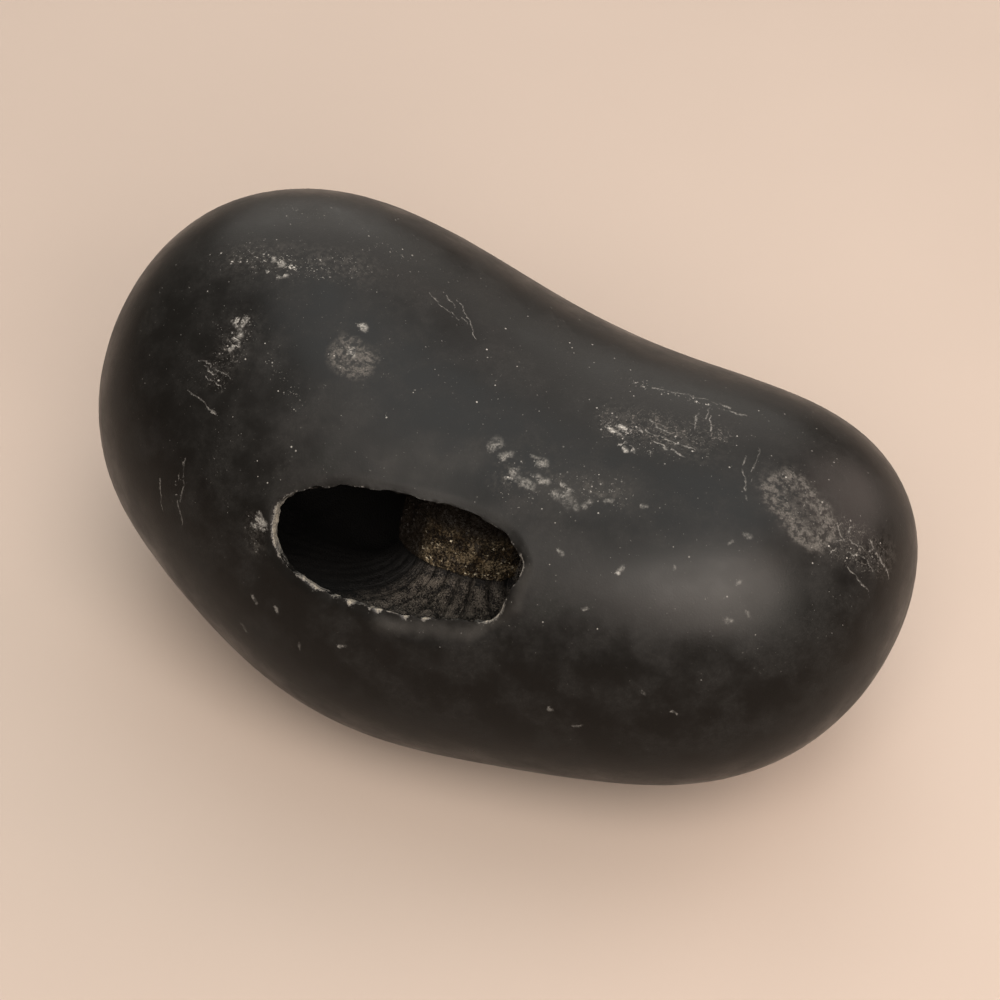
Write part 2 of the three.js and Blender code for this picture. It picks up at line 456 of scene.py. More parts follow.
def store_values(mesh, name, domain, values):
    """Keeps a number, or three, for each point, face or corner of a mesh."""
    values = np.asarray(values, np.float32)
    kind, field = ("FLOAT", "value") if values.ndim == 1 else ("FLOAT_VECTOR", "vector")
    mesh.attributes.new(name, kind, domain).data.foreach_set(field, values.ravel())


# ---- The pebble's shape ----


def pebble_rings(turn, around):
    """Rings of a rounded square whose half width and half height follow the
    sine of the turn, tapered, along a centre line bent by a square law. Broad
    bells along and round it swell or sink the radius."""
    turn = turn[:, None]
    around = around[None, :]
    station = -np.cos(turn)
    dome = np.sin(turn) ** END_ROUNDNESS
    half_width = WIDTH / 2 * dome * (1 + series(station, WIDTH_TAPER))
    half_height = HEIGHT / 2 * dome * (1 + series(station, HEIGHT_TAPER))
    upwards = signed_power(np.sin(around), 2 / SQUARENESS)
    sideways = signed_power(np.cos(around), 2 / SQUARENESS) * (1 - TOP_NARROWING * upwards)
    swell = 1
    for along, middle, rise in SWELLS:
        near = bell(turned(np.degrees(around) - middle), SWELL_REACH_ROUND)
        swell = swell + rise * bell(station - along, SWELL_REACH_ALONG) * near
    y = half_width * sideways * swell
    z = half_height * upwards * swell
    return np.stack([
        LENGTH / 2 * station + TOP_LEAN * z,
        series(station, BEND_SIDEWAYS) + y,
        series(station, BEND_UPWARDS) + z,
    ], axis=-1)


def ring_normals(rings):
    """Outward unit normals: the step round a ring crossed with the step along,
    and straight out at the two poles."""
    along = np.gradient(rings, axis=0)
    around = np.roll(rings, -1, axis=1) - np.roll(rings, 1, axis=1)
    normals = np.cross(around, along)
    normals[0] = (-1, 0, 0)
    normals[-1] = (1, 0, 0)
    return unit(normals)


def placing():
    """The scale and shift that lay the pebble's box, above its worn base, on
    the CAD node's box: millimetres in the pebble's frame to metres."""
    points = pebble_rings(np.linspace(0, np.pi, PLACING_GRID[0]), full_turn(PLACING_GRID[1])).reshape(-1, 3)
    low = points.min(0) + (0, 0, WORN_BASE)
    high = points.max(0)
    cad_low, cad_high = (np.array(corner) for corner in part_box("stone"))
    scale = (cad_high - cad_low) / (high - low)
    return scale, cad_low - low * scale


PLACE_SCALE, PLACE_SHIFT = placing()


def put_in_place(piece, points):
    """Writes points of the pebble's frame to the piece's mesh, in metres, with
    nothing left below the ground that the worn base stands on."""
    placed = points * PLACE_SCALE + PLACE_SHIFT
    placed[:, 2] = np.maximum(placed[:, 2], 0)
    piece.data.vertices.foreach_set("co", placed.astype(np.float32).ravel())
    piece.data.update()


# ---- The mouth's shape ----

MOUTH_AXES = np.array(
    Matrix.Rotation(radians(MOUTH_LEAN[0]), 3, "X") @ Matrix.Rotation(radians(MOUTH_LEAN[1]), 3, "Y")
)


def mouth_loop(steps):
    """A closed centripetal Catmull-Rom curve through the outline's points: on
    each span, a cubic whose end slopes weigh the neighbouring spans by the
    square root of their lengths."""
    knots = np.array(MOUTH_OUTLINE, float)
    run = np.arange(steps) / steps * len(knots)
    span = run.astype(int)
    share = (run - span)[:, None]
    before, start, end, after = (knots[(span + shift) % len(knots)] for shift in (-1, 0, 1, 2))

    def root_length(step):
        return np.linalg.norm(step, axis=1, keepdims=True) ** 0.5

    first, middle, third = (root_length(step) for step in (start - before, end - start, after - end))
    steady = (end - start) / middle
    leave = ((start - before) / first - (end - before) / (first + middle) + steady) * middle
    arrive = (steady - (after - start) / (middle + third) + (after - end) / third) * middle
    return (
        start + leave * share
        + (3 * (end - start) - 2 * leave - arrive) * share ** 2
        + (2 * (start - end) + leave + arrive) * share ** 3
    )


def loop_normals(loop):
    """Unit normals that point out of a closed loop drawn clockwise."""
    step = np.roll(loop, -1, axis=0) - np.roll(loop, 1, axis=0)
    return unit(np.stack([-step[:, 1], step[:, 0]], axis=-1))


def rim_profile(loop):
    """How wide the rim is broken at each point of the outline, and how pale: a
    little everywhere, a bell of the degrees round the mouth for each broken
    stretch, and a bell of the distance for each chip of a seeded scatter."""
    degrees = np.degrees(np.arctan2(loop[:, 1], loop[:, 0]))

    def turn_from(middle):
        return np.abs(turned(degrees - middle))

    rng = np.random.default_rng(RIM_SEED)
    keys = ("reach", "width", "pale", "between")
    chips = [rng.uniform(*RIM_CHIPS[key], RIM_CHIPS["count"]) for key in keys]
    bells = [(bell(turn_from(middle), reach), *rest) for middle, reach, *rest in RIM_STRETCHES]
    for reach, *rest, middle in zip(*chips):
        gap = np.linalg.norm(loop - loop[turn_from(middle).argmin()], axis=1)
        bells.append((bell(gap, reach), *rest))
    near, wide, pale = (np.array(column) for column in zip(*bells))
    wide = np.maximum(RIM_LEAST["width"], (near * wide[:, None]).max(0))
    return wide, np.maximum(RIM_LEAST["pale"], (near * pale[:, None]).max(0))


def rim_distance(points, loop):
    """For points near the mouth: the nearest outline point's number, and the
    distance from the outline in the mouth's plane, less than 0 inside it."""
    local = (points - MOUTH_CENTRE) @ MOUTH_AXES
    nearest = np.zeros(len(points), int)
    distance = np.full(len(points), 99.0)
    near = np.flatnonzero((np.abs(local) < NEAR_MOUTH).all(axis=1))
    outward = loop_normals(loop)
    for part in np.array_split(near, max(1, len(near) // 4000)):
        offset = local[part, None, :2] - loop[None]
        closest = (offset ** 2).sum(-1).argmin(1)
        gap = offset[np.arange(len(part)), closest]
        nearest[part] = closest
        distance[part] = np.sign((gap * outward[closest]).sum(-1)) * np.hypot(gap[:, 0], gap[:, 1])
    return nearest, distance


def skin_rings(settings):
    """The pebble with a faint unevenness, lowered along its normals near the
    mouth: by a worn shoulder, and by the chips' slopes at the rim itself."""
    turn = graded(0, np.pi, **SKIN_TURN)
    around = graded(0, 2 * np.pi, **SKIN_ROUND)[:-1]
    rings = pebble_rings(turn, around)
    normals = ring_normals(rings)
    points = rings.reshape(-1, 3)
    uneven = UNEVENNESS * (layered_noise(points, 8, seed=3) - 1)
    loop = mouth_loop(OUTLINE_STEPS)
    nearest, distance = rim_distance(points, loop)
    width, _ = rim_profile(loop)
    width = width[nearest] * (1 + 0.5 * noise(points, 0.7, seed=11))
    slope = np.clip(1 - distance / width, 0, 1)
    chipped = settings.chip_depth / MM * width * slope * (1 + 0.35 * noise(points, 0.35, seed=12))
    low_side = smooth_step(-loop[nearest, 1], *LOW_SIDE) * smooth_step(loop[nearest, 0], *RIGHT_SIDE)
    shoulder = SHOULDER_DEPTH + LOW_SHOULDER_DEPTH * low_side
    shoulder = shoulder * smooth_step(-distance / (1 + 1.8 * low_side), -1, 0)
    return rings + normals * (uneven - chipped - shoulder).reshape(rings.shape[:2])[..., None]


def cutter_rings(settings):
    """The mouth's outline carried through the wall along its plane's normal,
    made ragged by noise, and closed by a pole at each end."""
    loop = mouth_loop(OUTLINE_STEPS)
    outward = loop_normals(loop)
    depth = np.linspace(-MOUTH_REACH, MOUTH_REACH, CUTTER_STEPS)
    flat = np.broadcast_to(loop, (CUTTER_STEPS, OUTLINE_STEPS, 2))
    depth = np.broadcast_to(depth[:, None, None], (CUTTER_STEPS, OUTLINE_STEPS, 1))
    wall = np.concatenate([flat, depth], axis=-1)
    ragged = 0.6 * noise(wall, 1.0, seed=21) + 0.4 * noise(wall, 0.42, seed=22)
    offset = settings.raggedness / MM * ragged
    wall[..., :2] += outward * offset[..., None]
    ends = [np.broadcast_to(wall[end].mean(0), wall[end].shape) for end in (0, -1)]
    local = np.concatenate([ends[0][None], wall, ends[1][None]])
    return local @ MOUTH_AXES.T + MOUTH_CENTRE


def inset_rings():
    """The pebble drawn in by the wall's thickness along its normals."""
    rings = pebble_rings(np.linspace(0, np.pi, INSET_GRID[0]), full_turn(INSET_GRID[1]))
    thickness = WALL * (1 + 0.12 * noise(rings, 2.5, seed=31))
    return rings - ring_normals(rings) * thickness[..., None]


# ---- The coil's shape ----

COIL_AXES = np.array(Matrix.Rotation(radians(-COIL_LEAN), 3, "X"))


def coil_points(sweep, distance, height):
    """A place in the coil, by its sweep angle, its distance from the coil's
    axis and its height along it, turned into the pebble's frame."""
    angle = np.radians(SWEEP_ZERO - sweep)
    sweep, distance, height = np.broadcast_arrays(angle, distance, height)
    local = np.stack([distance * np.cos(angle), distance * np.sin(angle), height], axis=-1)
    return local @ COIL_AXES.T + COIL_CENTRE


def coil_place(points):
    """The sweep angle, distance and height in the coil of each point."""
    local = (points - COIL_CENTRE) @ COIL_AXES
    sweep = turned(SWEEP_ZERO - np.degrees(np.arctan2(local[:, 1], local[:, 0])))
    return sweep, np.hypot(local[:, 0], local[:, 1]), local[:, 2]


def tube_at(sweep):
    """The tube's middle distance, half height and half width: its radii grow
    as the exponential of a factor times the sweep."""
    grown = np.exp(OUTER_GROWTH * np.radians(sweep))
    outer = OUTER_RADIUS * grown
    inner = INNER_RADIUS * np.exp(INNER_GROWTH * np.radians(sweep))
    return (outer + inner) / 2, (outer - inner) / 2, TUBE_HALF_WIDTH * grown


def ridge_rise(height):
    """The inner wall's bulge over the whorl inside it, a bell of the height."""
    return RIDGE_RISE * bell(height, RIDGE_HALF_WIDTH)


def inner_wall(sweep, height):
    """The inner wall's distance from the coil's axis at a height."""
    middle, half_height, half_width = tube_at(sweep)
    share = np.clip(np.abs(height / half_width), 0, 1) ** TUBE_SQUARENESS
    return middle - half_height * (1 - share) ** (1 / TUBE_SQUARENESS) + ridge_rise(height)


def rib_groove(sweep):
    """1 in the narrow groove between two ribs, 0 on a rib's crest: 1 less a
    root of the sine of the phase. The first rib is wider than the others."""
    spacing = np.where(sweep < RIB_PHASE, FIRST_RIB_SPACING, RIB_SPACING)
    return 1 - np.abs(np.sin(np.pi * (sweep - RIB_PHASE) / spacing)) ** RIB_BLUNTNESS


def hollow_shade(points):
    """Painted shade on the hollow's rock: 1 where it keeps its grey, 0 where it is painted black as shade,
    deep in the coil and in the crease under the crystals on its inner wall."""
    sweep, distance, height = coil_place(points)
    deep = smooth_step(sweep, *DEEP_SHADE_SWEEP)
    beside = 1 - smooth_step(distance - inner_wall(sweep, height), *CREASE_OFF_WALL)
    crease = bell(np.abs(height) - CRUST_HALF_WIDTH - 0.1, CREASE_REACH) * beside
    return (1 - deep) * (1 - CREASE_SHADE_DARKNESS * crease)


def hollow_rings(settings):
    """A tube round the coil's axis with a rounded-square section, closed at
    its ends by a quarter circle, ribbed across its outer and side walls, with
    fine striae beside the ribs and grains all over."""
    sweep = graded(SWEEP_START, SWEEP_END, **TUBE_SWEEP)[:, None]
    around = graded(0, 2 * np.pi, **TUBE_ROUND)[None, :-1]
    from_end = np.clip(np.minimum(sweep - SWEEP_START, SWEEP_END - sweep) / SWEEP_ROUNDING, 0, 1)
    closing = np.sqrt(1 - (1 - from_end) ** 2)
    outwards = signed_power(np.cos(around), 2 / TUBE_SQUARENESS)
    upwards = signed_power(np.sin(around), 2 / TUBE_SQUARENESS)
    inner = smooth_step(-outwards, 0.2, 0.8)
    ribbed = 1 - smooth_step(-outwards, 0.8, 0.97)
    middle, half_height, half_width = tube_at(sweep)
    flow = coil_points(sweep, middle + half_height * outwards, half_width * upwards)
    wander = 1.1 * noise(flow, 4.5, seed=41) + 0.5 * noise(flow, 1.6, seed=42)
    fading = 1 - RIB_FADING * smooth_step(sweep, *RIB_FADING_SWEEP)
    relief = settings.rib_depth / MM * ribbed * fading * (rib_groove(sweep + wander) - BAND_SHARE)
    size = closing * (1 + relief / half_width)
    height = half_width * upwards * size
    distance = middle + half_height * outwards * size + inner * ridge_rise(height) * closing
    rings = coil_points(sweep, distance, height)
    striae = np.sin(2 * np.pi * (sweep + 1.5 * wander) / STRIA_SPACING)
    striae = striae * (0.5 + 0.5 * noise(flow, 2.2, seed=43))
    grains = noise(flow, 0.3, seed=44) + 0.6 * noise(flow, 0.16, seed=45)
    lumps = layered_noise(flow, 1.3, seed=46)
    rough = STRIA_DEPTH * ribbed * striae + settings.grain_height / MM * grains + 0.08 * lumps
    return rings + ring_normals(rings) * rough[..., None] * closing[..., None]


# ---- The marks' places ----


def skin_place(station, degrees):
    """A point of the pebble and its outward unit normal, the cross product of
    two short steps over the surface."""
    turn, around, step = np.arccos(-station), radians(degrees), 1e-4
    patch = pebble_rings(np.array([turn, turn + step]), np.array([around, around + step]))
    return patch[0, 0], unit(np.cross(patch[0, 1] - patch[0, 0], patch[1, 0] - patch[0, 0]))


def scattered_marks():
    """Every mark's two ends, half width and strength. Its middle is its
    group's, moved by a bell-shaped chance as wide as the group spreads, and
    the rest is even between the group's limits."""
    rng = np.random.default_rng(MARKS_SEED)
    to_skin = np.array((2 / LENGTH, np.degrees(2 / HEIGHT)))
    rows = []
    for middle, spread, count, (heading, give), lengths, widths, strengths in MARK_GROUPS:
        offset = rng.normal(0, 0.5, (count, 2)) * spread
        turn = np.radians(heading + rng.uniform(-give, give, count))
        half_run = np.stack([np.cos(turn), np.sin(turn)], axis=-1) * rng.uniform(*lengths, (count, 1))
        sizes = np.stack([rng.uniform(*widths, count), rng.uniform(*strengths, count)], axis=-1)
        ends = [np.array(middle) + (offset + side * half_run) * to_skin for side in (-1, 1)]
        rows.append(np.hstack([*ends, sizes]))
    marks = np.vstack(rows)
    marks[:, [0, 2]] = np.clip(marks[:, [0, 2]], -0.97, 0.97)
    return marks


def mark_frame(station, degrees, end_station, end_degrees):
    """A mark's middle, its half length, and its unit directions along and
    across, which lie in the plane that touches the skin between its ends."""
    start, _ = skin_place(station, degrees)
    end, _ = skin_place(end_station, end_degrees)
    _, outward = skin_place((station + end_station) / 2, (degrees + end_degrees) / 2)
    run = end - start
    run -= outward * (run @ outward)
    length = np.linalg.norm(run)
    return (start + end) / 2, length / 2, run / length, np.cross(outward, run / length)


def mark_distance(points, mark):
    """The distance of points from the line between a mark's ends."""
    middle, half_length, along, _ = mark
    offset = points - middle
    run = offset @ along
    beyond = np.maximum(np.abs(run) - half_length, 0)
    return np.sqrt(np.maximum((offset ** 2).sum(1) - run ** 2, 0) + beyond ** 2)


def store_marks(mesh, points):
    """Gives each face the mark that is nearest its middle. Its corners hold
    how far they lie along and across that mark, in millimetres, and the face
    holds the mark's half length, half width and strength."""
    sizes = whole_numbers(mesh.polygons, "loop_total")
    face_of = np.repeat(np.arange(len(sizes)), sizes)
    corners = points[whole_numbers(mesh.loops, "vertex_index")]
    middles = np.add.reduceat(corners, whole_numbers(mesh.polygons, "loop_start")) / sizes[:, None]
    best = np.full(len(sizes), np.inf)
    place = np.zeros((len(corners), 3))
    size = np.ones((len(sizes), 3))
    for *ends, half_width, strength in scattered_marks():
        mark = mark_frame(*ends)
        middle, half_length, along, across = mark
        gap = mark_distance(middles, mark) - half_width
        nearer = gap < best
        best[nearer] = gap[nearer]
        size[nearer] = (half_length, half_width, strength)
        offset = corners[nearer[face_of]] - middle
        place[nearer[face_of], :2] = np.stack([offset @ along, offset @ across], axis=-1)
    store_values(mesh, "mark_place", "CORNER", place)
    store_values(mesh, "mark_size", "FACE", size)


def store_zones(mesh, points):
    """For each kind of zone, 1 along a zone's line falling to 0 at its half
    width, times its strength, and the greatest where zones overlap."""
    for name, zones in ZONES.items():
        value = np.zeros(len(points))
        for *ends, half_width, strength in zones:
            closeness = 1 - mark_distance(points, mark_frame(*ends)) / half_width
            value = np.maximum(value, strength * closeness)
        store_values(mesh, name, "POINT", value)


# ---- The crystals' shape ----


def crust_points(share, around):
    """A lens along the ridge that sinks into the rock at its ends and edges:
    its height in the coil is a cosine round it and its thickness a sine, with
    lumps of noise on its outer side."""
    sweep = CRUST_START + (CRUST_END - CRUST_START) * share
    ends = np.sqrt(np.clip(1 - (2 * share - 1) ** 8, 0, 1))
    height = CRUST_HALF_WIDTH * np.cos(around) * ends
    rise = (1 + np.sin(around)) / 2 * ends
    base = inner_wall(sweep, height) - CRUST_ROOT
    flat = coil_points(sweep, base, height)
    lumps = 0.3 * noise(flat, 1.6, seed=51) + 0.2 * noise(flat, 0.8, seed=52)
    return coil_points(sweep, base + (CRUST_ROOT + CRUST_THICKNESS + lumps) * rise, height)


def crust_rings():
    """The lens with small grains raised along its normals."""
    rings = crust_points(np.linspace(0, 1, CRUST_GRID[0])[:, None], full_turn(CRUST_GRID[1])[None])
    grains = 0.09 * noise(rings, 0.34, seed=53) + 0.05 * noise(rings, 0.18, seed=54)
    out = ring_normals(rings)
    out[0] = out[-1] = 0
    return rings + out * grains[..., None]


def random_turns(count, rng):
    """Evenly spread random rotations, from unit quaternions."""
    w, x, y, z = unit(rng.normal(size=(count, 4))).T
    return np.stack([
        1 - 2 * (y * y + z * z), 2 * (x * y - w * z), 2 * (x * z + w * y),
        2 * (x * y + w * z), 1 - 2 * (x * x + z * z), 2 * (y * z - w * x),
        2 * (x * z - w * y), 2 * (y * z + w * x), 1 - 2 * (x * x + y * y),
    ], axis=-1).reshape(-1, 3, 3)


def crystal_field(settings):
    """Small leaning blocks, as calcite grows, scattered over the lens: each is
    a cube's eight corners sheared, sized and turned at random."""
    rng = np.random.default_rng(settings.seed)
    count = settings.crystal_count
    share = rng.uniform(0.01, 0.99, count)
    around = np.pi * rng.uniform(0.04, 0.96, count)
    step = 1e-3
    here = crust_points(share, around)
    along = crust_points(share + step, around) - here
    across = crust_points(share, around + step) - here
    outward = unit(np.cross(across, along))
    low, high = settings.smallest / MM, settings.largest / MM
    size = low + (high - low) * rng.random(count) ** SMALL_SHARE_POWER
    corners = np.array(list(np.ndindex(2, 2, 2))) - 0.5
    corners[:, :2] += CRYSTAL_LEAN * corners[:, 2:]
    shape = corners[None] * size[:, None, None] * rng.uniform(*CRYSTAL_STRETCH, (count, 1, 3))
    spun = np.einsum("nij,nkj->nki", random_turns(count, rng), shape)
    points = spun + (here + outward * size[:, None] * CRYSTAL_RISE)[:, None]
    sides = np.array([
        (0, 1, 3, 2), (4, 6, 7, 5), (0, 4, 5, 1), (2, 3, 7, 6), (0, 2, 6, 4), (1, 5, 7, 3),
    ])
    faces = (sides[None] + 8 * np.arange(count)[:, None, None]).reshape(-1, 4)
    return points.reshape(-1, 3), faces, np.repeat(rng.random(count), 8)


# ---- Building ----


def build_stone(settings):
    """The skin less the part of the whorl's hollow that lies inside the wall
    or under the mouth, with the values that its finish reads."""
    zones = [bpy.data.materials.new(name) for name in ("Skin", "Hollow", "Break")]
    stone = new_piece("shaligram_stone", *closed_surface(skin_rings(settings)), zones[0])
    room = new_piece("Wall room", *closed_surface(inset_rings()), zones[1])
    mouth = new_piece("Mouth cutter", *closed_surface(cutter_rings(settings)), zones[2])
    hollow = new_piece("Whorl hollow", *closed_surface(hollow_rings(settings)), zones[1])
    combine(room, "UNION", mouth)
    combine(hollow, "INTERSECT", room)
    combine(stone, "DIFFERENCE", hollow)
    mesh = stone.data
    mend_cut(mesh)
    points = vertex_points(mesh)
    store_finish_values(mesh, points)
    put_in_place(stone, points)
    for zone in zones:
        bpy.data.materials.remove(zone)
    mesh.materials.clear()
    mesh.set_sharp_from_angle(angle=radians(STONE_EDGE))
    return stone


def store_finish_values(mesh, points):
    """inside: 1 on the hollow's faces. pale: how fresh the break at the rim is. crest: 1 on a rib, 0 in a
    groove; the hollow's painted shade in the grooves follows it. shade: painted shade, 0 where the hollow
    is painted black deep in the coil and in the crease. Then the marks and the zones."""
    index = whole_numbers(mesh.polygons, "material_index")
    names = [material.name for material in mesh.materials]
    store_values(mesh, "inside", "FACE", index == names.index("Hollow"))
    mesh.polygons.foreach_set("material_index", np.zeros(len(index), np.int32))
    loop = mouth_loop(OUTLINE_STEPS)
    nearest, distance = rim_distance(points, loop)
    width, pale = rim_profile(loop)
    closeness = np.clip(1.15 - distance / (1.3 * width[nearest]), 0, 1)
    store_values(mesh, "pale", "POINT", pale[nearest] * closeness)
    sweep, _, _ = coil_place(points)
    store_values(mesh, "crest", "POINT", 1 - rib_groove(sweep))
    store_values(mesh, "shade", "POINT", hollow_shade(points))
    store_marks(mesh, points)
    store_zones(mesh, points)


def build_druse(settings):
    """The granular lens and its scattered crystals, in one mesh. tint: a
    crystal's own number. shade: 0 at its top and deep in the coil."""
    lens, lens_faces = closed_surface(crust_rings())
    crystals, faces, tint = crystal_field(settings)
    faces = lens_faces + (faces + len(lens)).tolist()
    druse = new_piece("crystal_druse", np.vstack([lens, crystals]), faces)
    mesh = druse.data
    store_values(mesh, "tint", "POINT", np.concatenate([np.full(len(lens), 0.5), tint]))
    points = vertex_points(mesh)
    sweep, _, height = coil_place(points)
    # Painted shade at the crust's top and deep in the coil.
    top = CRUST_SHADE_DARKNESS * smooth_step(height, *CRUST_TOP)
    store_values(mesh, "shade", "POINT", 1 - np.maximum(smooth_step(sweep, *DEEP_SHADE_SWEEP), top))
    put_in_place(druse, points)
    mesh.set_sharp_from_angle(angle=radians(DRUSE_EDGE))
    return druse


# ---- Node shorthand ----


class Value:
    """A node's outlet, which sums are written with as if it were a number."""

    def __init__(self, outlet):
        self.outlet = outlet

    def __add__(self, other):
        return math("ADD", self, other)

    def __sub__(self, other):
        return math("SUBTRACT", self, other)

    def __rsub__(self, other):
        return math("SUBTRACT", other, self)

    def __mul__(self, other):
        return math("MULTIPLY", self, other)

    def __truediv__(self, other):
        return math("DIVIDE", self, other)

    def __abs__(self):
        return math("ABSOLUTE", self)


def fill(socket, value):
    """Links an outlet to a socket, or gives the socket a number or a colour."""
    if isinstance(value, Value):
        value.outlet.id_data.links.new(value.outlet, socket)
    else:
        socket.default_value = value


def add_node(kind, inlets=(), outlet=0, tree=None, **options):
    """Adds a node to the tree that its inlets come from, sets its options,
    fills its inlets by name or number, and returns the outlet or outlets."""
    inlets = dict(inlets)
    for value in inlets.values():
        if isinstance(value, Value):
            tree = value.outlet.id_data
    node = tree.nodes.new(kind)
    for option, value in options.items():
        setattr(node, option, value)
    for key, value in inlets.items():
        fill(node.inputs[key], value)
    if isinstance(outlet, tuple):
        return [Value(node.outputs[each]) for each in outlet]
    return Value(node.outputs[outlet])


def math(operation, *values):
    return add_node("ShaderNodeMath", enumerate(values), operation=operation)


def greatest(first, *others):
    for other in others:
        first = math("MAXIMUM", first, other)
    return first


def ramp(value, low, high, start=0.0, end=1.0):
    """From start to end as the value goes from low to high, eased."""
    inlets = {"Value": value, "From Min": low, "From Max": high, "To Min": start, "To Max": end}
    return add_node("ShaderNodeMapRange", inlets, interpolation_type="SMOOTHSTEP")


def tinted(share, first, second):
    """The first colour turned into the second by a share."""
    first, second = (each if isinstance(each, Value) else (*each, 1) for each in (first, second))
    return add_node("ShaderNodeMix", {0: share, 6: first, 7: second}, 2, data_type="RGBA")


def cloud(where, scale, detail=2.0, roughness=0.5):
    inlets = {"Vector": where, "Scale": scale, "Detail": detail, "Roughness": roughness}
    return add_node("ShaderNodeTexNoise", inlets)


def centred(value, reach):
    """A noise value made to swing by a reach to each side of 0."""
    return (value - 0.5) * (2 * reach)


def attribute(tree, name, outlet="Fac"):
    return add_node("ShaderNodeAttribute", (), outlet, tree, attribute_name=name)


def parts_of(vector):
    return add_node("ShaderNodeSeparateXYZ", {0: vector}, (0, 1, 2))


def new_material(name, specular):
    """A new material, its tree, its shader's sockets and where a point is, in
    millimetres."""
    material = bpy.data.materials.new(name)
    material.use_nodes = True
    tree = material.node_tree
    shader = tree.nodes["Principled BSDF"].inputs
    shader["Specular IOR Level"].default_value = specular
    place = add_node("ShaderNodeTexCoord", (), "Object", tree)
    place = add_node("ShaderNodeVectorMath", {0: place, 1: [1 / MM] * 3}, operation="MULTIPLY")
    return material, tree, shader, place


# ---- Shared effect ----


def grain_group():
    """Fine grains of rock or crystal, from noise over coarser noise: how light each grain is, and a few
    painted glints, bright spots of colour that stand in for sparkle."""
    tree = bpy.data.node_groups.new("Mineral grain", "ShaderNodeTree")
    tree.interface.new_socket("Vector", in_out="INPUT", socket_type="NodeSocketVector")
    tree.interface.new_socket("Grains per mm", in_out="INPUT", socket_type="NodeSocketFloat")
    tree.interface.new_socket("Light", in_out="OUTPUT", socket_type="NodeSocketFloat")
    tree.interface.new_socket("Glint", in_out="OUTPUT", socket_type="NodeSocketFloat")
    where, scale = add_node("NodeGroupInput", (), ("Vector", "Grains per mm"), tree)
    fine = cloud(where, scale, 2.0, 0.7)
    patches = cloud(where, scale * 0.17, 1.0)
    result = tree.nodes.new("NodeGroupOutput").inputs
    fill(result["Light"], ramp(fine + patches * 0.5, 0.63, 0.9))
    fill(result["Glint"], ramp(fine, 0.69, 0.76))
    return tree


def use_grain(place, grains_per_mm):
    """Places the shared group, made the first time: its light and its painted glints."""
    group = bpy.data.node_groups.get("Mineral grain") or grain_group()
    inlets = {"Vector": place, "Grains per mm": grains_per_mm}
    return add_node("ShaderNodeGroup", inlets, ("Light", "Glint"), node_tree=group)


# ---- Materials ----


def mark_mask(tree, broad, middling, fine):
    """The marks, from how far along and across them a point lies and from
    their sizes: thin ones wander and break up, wide ones are mottled."""
    along, across, _ = parts_of(attribute(tree, "mark_place", "Vector"))
    length, width, strength = parts_of(attribute(tree, "mark_size", "Vector"))
    beyond = greatest(abs(along + centred(fine, 0.3)) - length, 0.0)
    across = across + centred(broad, 1.3) + centred(middling, 0.25)
    both = add_node("ShaderNodeCombineXYZ", {0: beyond, 1: across})
    distance = add_node("ShaderNodeVectorMath", {0: both}, "Value", operation="LENGTH")
    near = ramp(distance / width, 1.5, 0.1)
    broken = ramp(middling, 0.36, 0.6, 0.15, 1.0)
    mottled = ramp(fine, 0.3, 0.66, 0.35, 1.0)
    faint = ramp(width, 0.04, 0.2, 0.8, 1.3)
    return near * strength * broken * mottled * faint


def dust_mask(place, topside, zone):
    """Round specks of dust, one to a cell of half a millimetre. A cell's random number sets its size, and
    more cells have one on the upper side and in the speck zones."""
    inlets = {"Vector": place, "Scale": 2.0}
    chance, distance = add_node("ShaderNodeTexVoronoi", inlets, ("Color", "Distance"))
    chance, other_chance = add_node("ShaderNodeSeparateColor", {0: chance}, (0, 1))
    over = chance + (topside * 0.16 + zone * 0.5) - 0.94
    radius = math("MINIMUM", over * 0.9, 0.2)
    return ramp(radius - distance, 0.0, 0.06) * ramp(other_chance, 0.0, 1.0, 0.15, 0.8)


